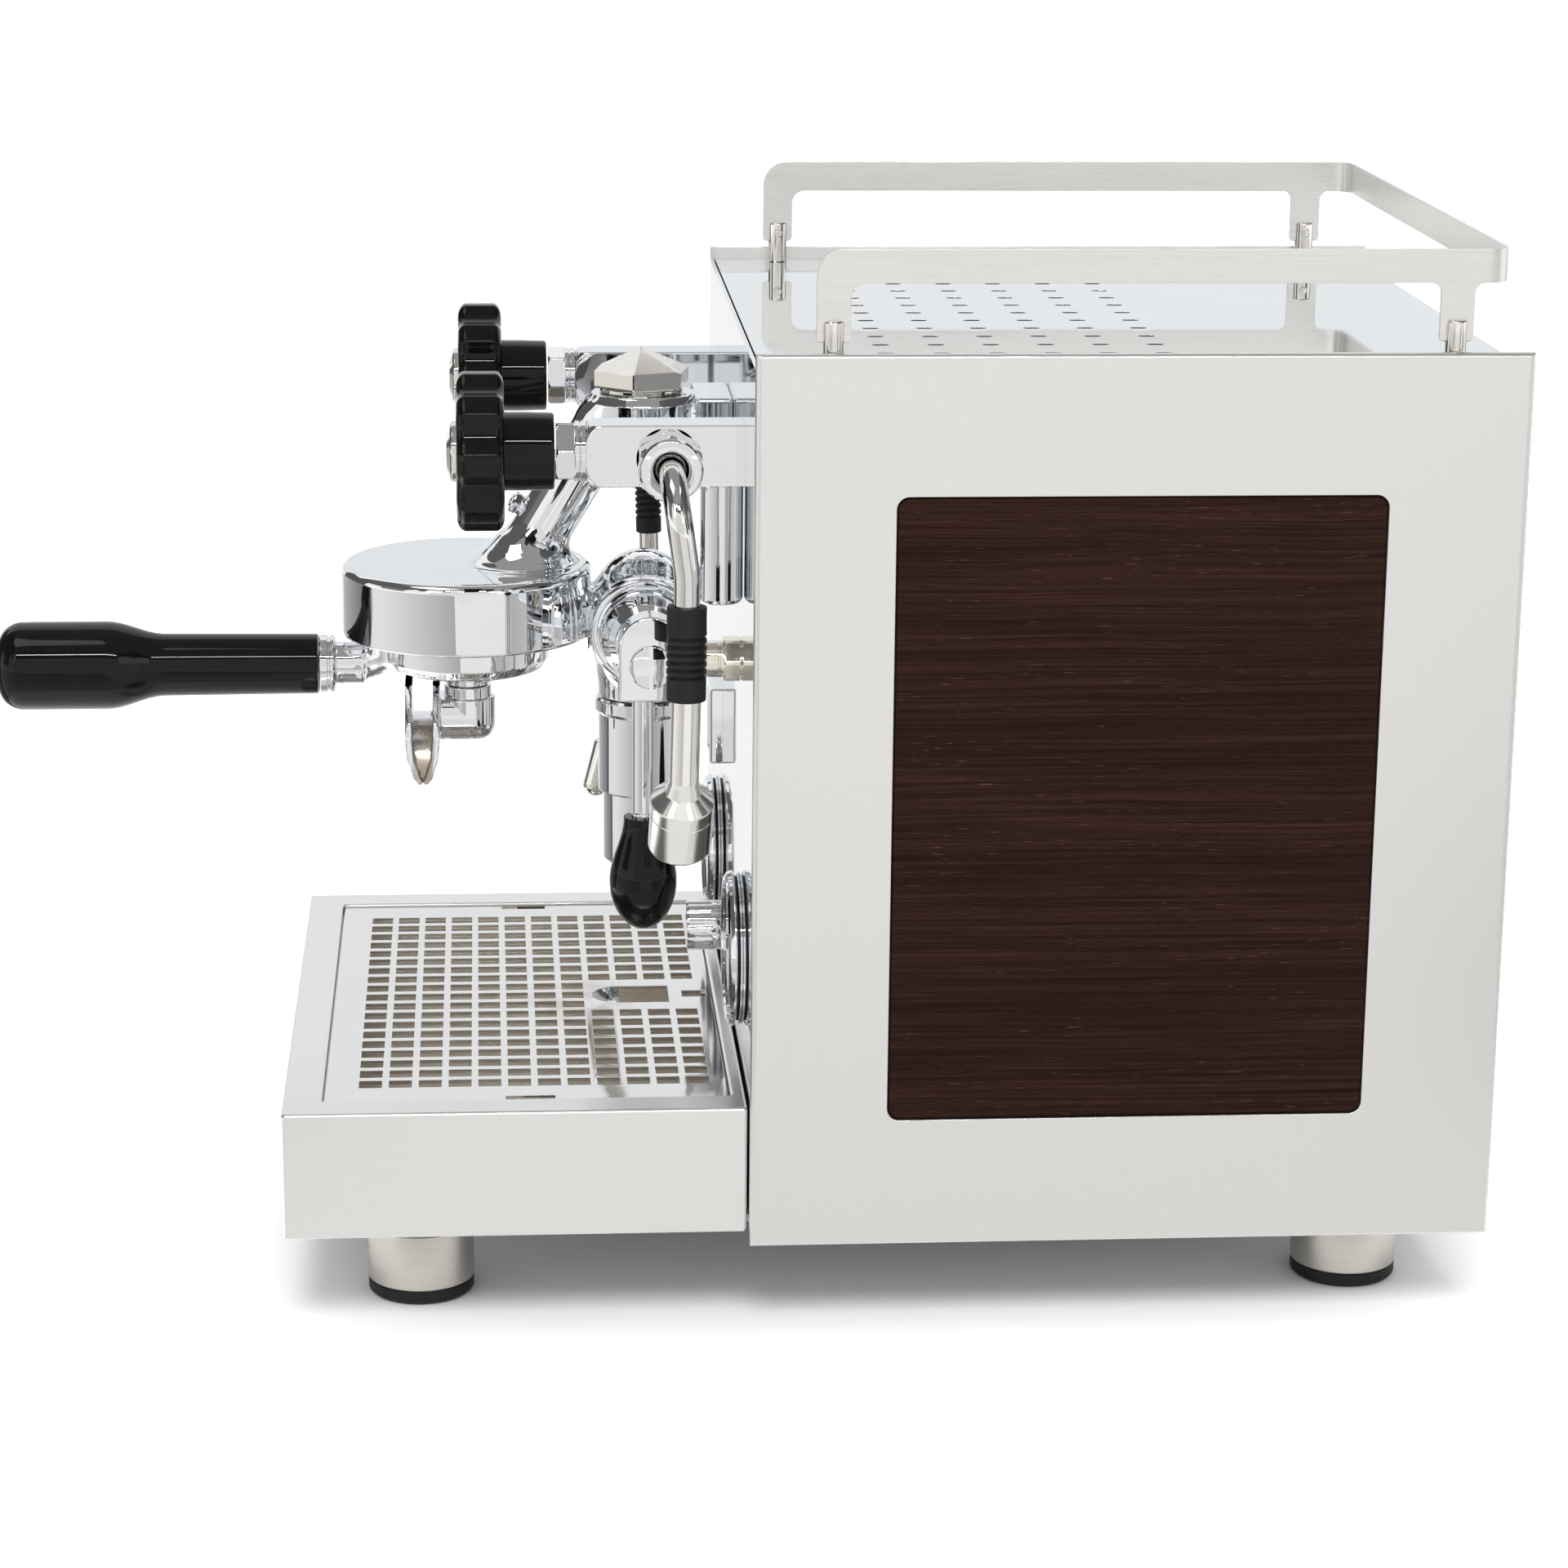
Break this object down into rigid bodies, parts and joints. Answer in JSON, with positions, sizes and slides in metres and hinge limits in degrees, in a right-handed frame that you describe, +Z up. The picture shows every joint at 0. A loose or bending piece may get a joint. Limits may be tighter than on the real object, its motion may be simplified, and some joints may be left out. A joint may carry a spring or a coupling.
{
  "type": "espresso machine",
  "caption": "Lever-group espresso machine with twin star-knob valves and wands, portafilter, drip tray, cup rail and wood-inlaid steel side panels.",
  "frame": {"origin": "centre of the bounding box on the table plane under the feet", "axes": "+Z up, -Y towards the user (portafilter side), +X towards the machine's right-hand side seen by the user"},
  "size_m": [0.29, 0.556, 0.4006],
  "materials": {
    "galvanised": "galvanised",
    "satin_steel": "satin brushed",
    "mirror_steel": "mirror polished",
    "chrome": "polished",
    "polished_nickel": "polished nickel",
    "rubber": "matt",
    "wenge": "oiled",
    "tank_plastic": "translucent",
    "copper": "brazed copper",
    "dark_metal": "oxidised",
    "brass": "turned",
    "black_plastic": "moulded",
    "glass": "clear",
    "needle_black": "painted",
    "bakelite": "glossy"
  },
  "bodies": {
    "machine": {"chassis_base": "galvanised", "inner_frame": "galvanised", "foot_posts": "satin_steel", "foot_pads": "rubber", "right_side_panel": "satin_steel", "left_side_panel": "satin_steel", "right_wood_inlay": "wenge", "left_wood_inlay": "wenge", "front_panel": "mirror_steel", "rear_panel": "satin_steel", "water_tank": "tank_plastic", "boiler": "copper", "heating_element": "dark_metal", "inner_pipes": "copper", "pump": "black_plastic", "control_box": "black_plastic", "safety_valve": "brass", "power_inlet": "black_plastic", "group_body": "chrome", "group_cap_nut": "polished_nickel", "group_plug": "polished_nickel", "group_gasket": "rubber", "shower_screen": "satin_steel", "exhaust_tube": "chrome", "cam_nut": "chrome", "valve_bodies": "chrome", "valve_bonnets": "chrome", "wand_nuts": "chrome", "hot_water_sleeve": "chrome", "service_fitting": "brass", "display_bezel": "chrome", "gauge_bezels": "chrome", "gauge_cases": "black_plastic", "gauge_lenses": "glass"},
    "boiler_gauge_needle": {"boiler_needle": "needle_black"},
    "pump_gauge_needle": {"pump_needle": "needle_black"},
    "switch_knob": {"power_knob": "chrome"},
    "cup_warmer": {"cup_tray": "mirror_steel", "cup_rail": "satin_steel", "rail_posts": "chrome"},
    "drip_tray": {"drip_box": "satin_steel", "drip_basin": "satin_steel"},
    "grate": {"drip_grate": "satin_steel"},
    "lever": {"brew_lever": "chrome", "lever_knob": "bakelite", "lever_screw": "polished_nickel"},
    "brew_valve_body": {"brew_valve": "polished_nickel"},
    "drain_valve_body": {"drain_valve": "polished_nickel"},
    "portafilter_assembly": {"portafilter": "chrome", "portafilter_handle": "bakelite", "filter_basket": "satin_steel", "double_spout": "chrome"},
    "water_spindle": {"water_knob_cap": "polished_nickel"},
    "water_handwheel": {"water_knob": "bakelite"},
    "steam_spindle": {"steam_knob_cap": "polished_nickel"},
    "steam_handwheel": {"steam_knob": "bakelite"},
    "hot_water_wand": {"water_wand": "polished_nickel", "water_grip": "rubber"},
    "steam_wand_assembly": {"steam_wand": "polished_nickel", "steam_grip": "rubber"}
  },
  "joints": [
    {"name": "brew_lever_turn", "type": "hinge", "parent": "machine", "child": "lever", "pos_m": [0, -0.0305, 0.238], "axis": [-1, 0, 0], "range_deg": [0, 85]},
    {"name": "brew_valve_lift", "type": "slide", "parent": "machine", "child": "brew_valve_body", "axis": [0, 0, 1], "range_m": [0, 0.0015]},
    {"name": "drain_valve_lift", "type": "slide", "parent": "machine", "child": "drain_valve_body", "axis": [0, 0, 1], "range_m": [0, 0.0015]},
    {"name": "portafilter_turn", "type": "hinge", "parent": "machine", "child": "portafilter_assembly", "pos_m": [0, -0.0985, 0.24], "axis": [0, 0, 1], "range_deg": [-50, 0]},
    {"name": "water_spindle_rise", "type": "slide", "parent": "machine", "child": "water_spindle", "axis": [0, -1, 0], "range_m": [0, 0.0016]},
    {"name": "water_knob_turn", "type": "hinge", "parent": "water_spindle", "child": "water_handwheel", "pos_m": [0.085, -0.092, 0.3206], "axis": [0, -1, 0], "range_deg": [0, 450]},
    {"name": "steam_spindle_rise", "type": "slide", "parent": "machine", "child": "steam_spindle", "axis": [0, -1, 0], "range_m": [0, 0.0016]},
    {"name": "steam_knob_turn", "type": "hinge", "parent": "steam_spindle", "child": "steam_handwheel", "pos_m": [-0.085, -0.092, 0.3206], "axis": [0, -1, 0], "range_deg": [0, 450]},
    {"name": "water_wand_swing", "type": "hinge", "parent": "machine", "child": "hot_water_wand", "pos_m": [0.101, -0.0245, 0.3171], "axis": [-1, 0, 0], "range_deg": [-2, 40]},
    {"name": "steam_wand_swing", "type": "hinge", "parent": "machine", "child": "steam_wand_assembly", "pos_m": [-0.101, -0.0245, 0.3171], "axis": [-1, 0, 0], "range_deg": [-2, 40]},
    {"name": "switch_turn", "type": "hinge", "parent": "machine", "child": "switch_knob", "pos_m": [0.025, -0.005, 0.1225], "axis": [0, 1, 0], "range_deg": [0, 90]},
    {"name": "boiler_needle_turn", "type": "hinge", "parent": "machine", "child": "boiler_gauge_needle", "pos_m": [-0.072, 0.0005, 0.1275], "axis": [0, 1, 0], "range_deg": [0, 270]},
    {"name": "pump_needle_turn", "type": "hinge", "parent": "machine", "child": "pump_gauge_needle", "pos_m": [0.072, 0.0005, 0.1275], "axis": [0, 1, 0], "range_deg": [0, 270]},
    {"name": "drip_tray_slide", "type": "slide", "parent": "machine", "child": "drip_tray", "axis": [0, -1, 0], "range_m": [0, 0.15]},
    {"name": "grate_lift", "type": "slide", "parent": "drip_tray", "child": "grate", "axis": [0, 0, 1], "range_m": [0, 0.024]},
    {"name": "cup_tray_lift", "type": "slide", "parent": "machine", "child": "cup_warmer", "axis": [0, 0, 1], "range_m": [0, 0.12]}
  ],
  "couplings": [
    {"joint": "brew_valve_lift", "follows": "brew_lever_turn", "m_per_rad": 0.001},
    {"joint": "drain_valve_lift", "follows": "brew_lever_turn", "m_per_rad": 0.001},
    {"joint": "water_spindle_rise", "follows": "water_knob_turn", "m_per_rad": 0.0002},
    {"joint": "steam_spindle_rise", "follows": "steam_knob_turn", "m_per_rad": 0.0002}
  ]
}
